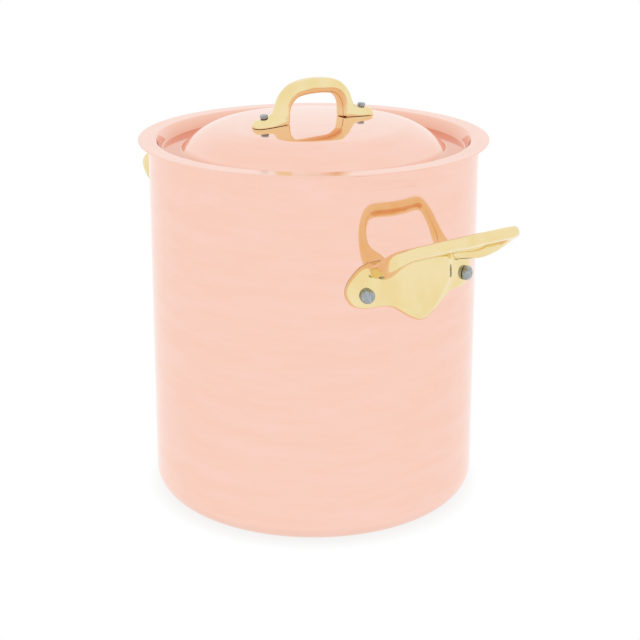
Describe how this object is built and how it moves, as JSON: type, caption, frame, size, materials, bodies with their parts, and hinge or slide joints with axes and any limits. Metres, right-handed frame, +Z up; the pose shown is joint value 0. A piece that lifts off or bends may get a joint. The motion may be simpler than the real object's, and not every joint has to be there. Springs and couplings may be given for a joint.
{
  "type": "copper stockpot",
  "caption": "Tall round copper pot with a steel lining, two cast brass loop handles riveted to the wall, and a lift-off lid with a sunken gutter and an arched brass handle.",
  "frame": {"origin": "on the table, under the pot's axis", "axes": "+Z up along the pot's axis, +X through the middle of one side handle, the other side handle along -X"},
  "size_m": [0.3518, 0.255, 0.31],
  "materials": {
    "copper": null,
    "lining_steel": "satin stainless steel lining",
    "cast_brass": "polished cast brass",
    "rivet_steel": "turned stainless steel"
  },
  "bodies": {
    "pot": {"pot_shell": "copper", "pot_lining": "lining_steel", "side_handle_right": "cast_brass", "side_handle_left": "cast_brass", "rivet_right_1": "rivet_steel", "rivet_right_2": "rivet_steel", "rivet_left_1": "rivet_steel", "rivet_left_2": "rivet_steel"},
    "lid": {"lid_shell": "copper", "lid_lining": "lining_steel", "lid_handle": "cast_brass", "lid_rivet_1": "rivet_steel", "lid_rivet_2": "rivet_steel"}
  },
  "joints": [
    {"name": "lid_lift", "type": "slide", "parent": "pot", "child": "lid", "axis": [0, 0, 1], "range_m": [0, 0.08]}
  ]
}
